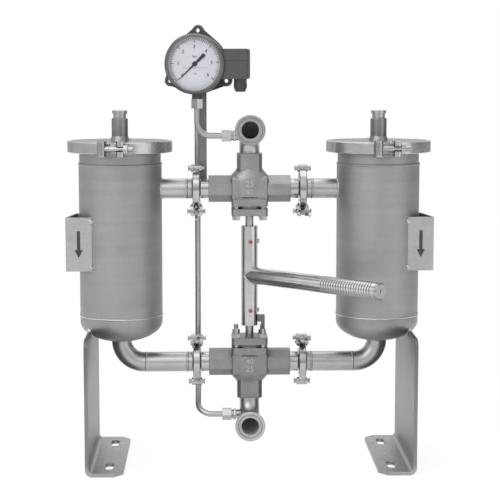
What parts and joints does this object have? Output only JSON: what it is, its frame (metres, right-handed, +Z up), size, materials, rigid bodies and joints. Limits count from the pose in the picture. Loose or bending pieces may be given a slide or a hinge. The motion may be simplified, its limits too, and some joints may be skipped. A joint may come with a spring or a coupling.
{
  "type": "duplex strainer",
  "caption": "Duplex strainer: twin lidded filter vessels joined by lever-coupled three-way valves, with a differential pressure gauge and bolt-down legs.",
  "frame": {"origin": "on the floor, under the axis that both valve spindles and the coupling tube share", "axes": "+Z up along the coupling tube, +X towards the right-hand vessel, -Y the way both ports and the lever's side face"},
  "size_m": [0.6136, 0.3384, 0.7395],
  "materials": {
    "blasted_steel": "bead blasted and pickled",
    "satin_steel": "satin",
    "plate_steel": "rolled plate, pickled",
    "polished_steel": "polished",
    "cast_steel": "investment cast, blasted",
    "fastener_steel": "bright turned",
    "seal_white": "plain",
    "seal_black": "matt",
    "gauge_black": "satin paint",
    "box_plastic": "fine moulded grain",
    "gauge_glass": "clear",
    "dial_white": "satin paint",
    "pointer_black": "satin paint"
  },
  "bodies": {
    "root": {"bonnet_bolts": "fastener_steel", "cable_gland": "box_plastic", "clamp_adapters": "polished_steel", "gauge_bezel": "polished_steel", "gauge_case": "gauge_black", "gauge_dial": "dial_white", "gauge_glass": "gauge_glass", "gauge_support": "plate_steel", "gauge_switch_box": "box_plastic", "left_arrow_bracket": "plate_steel", "left_filter_element": "satin_steel", "left_leg": "plate_steel", "left_lid": "polished_steel", "left_lid_clamp_fixed_half": "polished_steel", "left_piping": "satin_steel", "left_vessel": "blasted_steel", "lid_clamp_pins": "fastener_steel", "lid_gaskets": "seal_black", "lower_measuring_line": "satin_steel", "lower_port_elbow": "satin_steel", "lower_valve_body": "cast_steel", "lower_valve_bonnet": "cast_steel", "pipe_clamp_gaskets": "seal_black", "pipe_clamp_halves": "polished_steel", "pipe_clamp_pins": "fastener_steel", "right_arrow_bracket": "plate_steel", "right_filter_element": "satin_steel", "right_leg": "plate_steel", "right_lid": "polished_steel", "right_lid_clamp_fixed_half": "polished_steel", "right_piping": "satin_steel", "right_vessel": "blasted_steel", "stop_bracket": "plate_steel", "tube_fittings": "polished_steel", "upper_measuring_line": "satin_steel", "upper_port_elbow": "satin_steel", "upper_valve_body": "cast_steel", "upper_valve_bonnet": "cast_steel", "valve_seals": "seal_white"},
    "lever": {"coupling_tube": "satin_steel", "lever_bar": "satin_steel", "set_screws": "fastener_steel", "valve_plugs": "satin_steel"},
    "gauge_pointer": {"gauge_pointer": "pointer_black"},
    "left_clamp_half": {"left_lid_clamp_moving_half": "polished_steel"},
    "left_closure_bolt": {"left_lid_clamp_bolt": "fastener_steel"},
    "left_closure_nut": {"left_lid_clamp_nut": "fastener_steel"},
    "left_vent": {"left_vent_screw": "satin_steel"},
    "upper_left_swing_bolt": {"upper_left_clamp_bolt": "fastener_steel"},
    "upper_left_nut": {"upper_left_wing_nut": "fastener_steel"},
    "lower_left_swing_bolt": {"lower_left_clamp_bolt": "fastener_steel"},
    "lower_left_nut": {"lower_left_wing_nut": "fastener_steel"},
    "right_clamp_half": {"right_lid_clamp_moving_half": "polished_steel"},
    "right_closure_bolt": {"right_lid_clamp_bolt": "fastener_steel"},
    "right_closure_nut": {"right_lid_clamp_nut": "fastener_steel"},
    "right_vent": {"right_vent_screw": "satin_steel"},
    "upper_right_swing_bolt": {"upper_right_clamp_bolt": "fastener_steel"},
    "upper_right_nut": {"upper_right_wing_nut": "fastener_steel"},
    "lower_right_swing_bolt": {"lower_right_clamp_bolt": "fastener_steel"},
    "lower_right_nut": {"lower_right_wing_nut": "fastener_steel"}
  },
  "joints": [
    {"name": "lever_turn", "type": "hinge", "parent": "root", "child": "lever", "pos_m": [0, 0, 0.317], "axis": [0, 0, 1], "range_deg": [-90, 0]},
    {"name": "pointer_turn", "type": "hinge", "parent": "root", "child": "gauge_pointer", "pos_m": [-0.088, 0, 0.674], "axis": [0.1908, 0.9816, 0], "range_deg": [0, 270]},
    {"name": "left_closure_bolt_swing", "type": "hinge", "parent": "root", "child": "left_closure_bolt", "pos_m": [-0.24273, -0.09507, 0.5365], "axis": [0, 0, 1], "range_deg": [-80, 0]},
    {"name": "left_closure_nut_back_off", "type": "slide", "parent": "left_closure_bolt", "child": "left_closure_nut", "axis": [0.9954, -0.0958, 0], "range_m": [0, 0.008]},
    {"name": "left_clamp_half_open", "type": "hinge", "parent": "root", "child": "left_clamp_half", "pos_m": [-0.2087, 0.09655, 0.5365], "axis": [0, 0, 1], "range_deg": [0, 2.4]},
    {"name": "left_vent_turn", "type": "hinge", "parent": "root", "child": "left_vent", "pos_m": [-0.218, 0, 0.592], "axis": [0, 0, 1], "range_deg": [0, 360]},
    {"name": "upper_left_swing_bolt_swing", "type": "hinge", "parent": "root", "child": "upper_left_swing_bolt", "pos_m": [-0.09, 0.0075, 0.4255], "axis": [1, 0, 0], "range_deg": [0, 90]},
    {"name": "upper_left_nut_turn", "type": "hinge", "parent": "upper_left_swing_bolt", "child": "upper_left_nut", "pos_m": [-0.09, -0.0138, 0.4255], "axis": [0, -1, 0], "continuous": true},
    {"name": "lower_left_swing_bolt_swing", "type": "hinge", "parent": "root", "child": "lower_left_swing_bolt", "pos_m": [-0.09, 0.0075, 0.2075], "axis": [-1, 0, 0], "range_deg": [0, 90]},
    {"name": "lower_left_nut_turn", "type": "hinge", "parent": "lower_left_swing_bolt", "child": "lower_left_nut", "pos_m": [-0.09, -0.0138, 0.2075], "axis": [0, -1, 0], "continuous": true},
    {"name": "right_closure_bolt_swing", "type": "hinge", "parent": "root", "child": "right_closure_bolt", "pos_m": [0.20845, -0.09777, 0.5365], "axis": [0, 0, 1], "range_deg": [-80, 0]},
    {"name": "right_closure_nut_back_off", "type": "slide", "parent": "right_closure_bolt", "child": "right_closure_nut", "axis": [0.9981, 0.061, 0], "range_m": [0, 0.008]},
    {"name": "right_clamp_half_open", "type": "hinge", "parent": "root", "child": "right_clamp_half", "pos_m": [0.21208, 0.09682, 0.5365], "axis": [0, 0, 1], "range_deg": [0, 2.4]},
    {"name": "right_vent_turn", "type": "hinge", "parent": "root", "child": "right_vent", "pos_m": [0.218, 0, 0.592], "axis": [0, 0, 1], "range_deg": [0, 360]},
    {"name": "upper_right_swing_bolt_swing", "type": "hinge", "parent": "root", "child": "upper_right_swing_bolt", "pos_m": [0.09, 0.0075, 0.4255], "axis": [1, 0, 0], "range_deg": [0, 90]},
    {"name": "upper_right_nut_turn", "type": "hinge", "parent": "upper_right_swing_bolt", "child": "upper_right_nut", "pos_m": [0.09, -0.0138, 0.4255], "axis": [0, -1, 0], "continuous": true},
    {"name": "lower_right_swing_bolt_swing", "type": "hinge", "parent": "root", "child": "lower_right_swing_bolt", "pos_m": [0.09, 0.0075, 0.2075], "axis": [-1, 0, 0], "range_deg": [0, 90]},
    {"name": "lower_right_nut_turn", "type": "hinge", "parent": "lower_right_swing_bolt", "child": "lower_right_nut", "pos_m": [0.09, -0.0138, 0.2075], "axis": [0, -1, 0], "continuous": true}
  ],
  "couplings": [
    {"joint": "left_clamp_half_open", "follows": "left_closure_nut_back_off", "rad_per_m": 5},
    {"joint": "right_clamp_half_open", "follows": "right_closure_nut_back_off", "rad_per_m": 5}
  ]
}
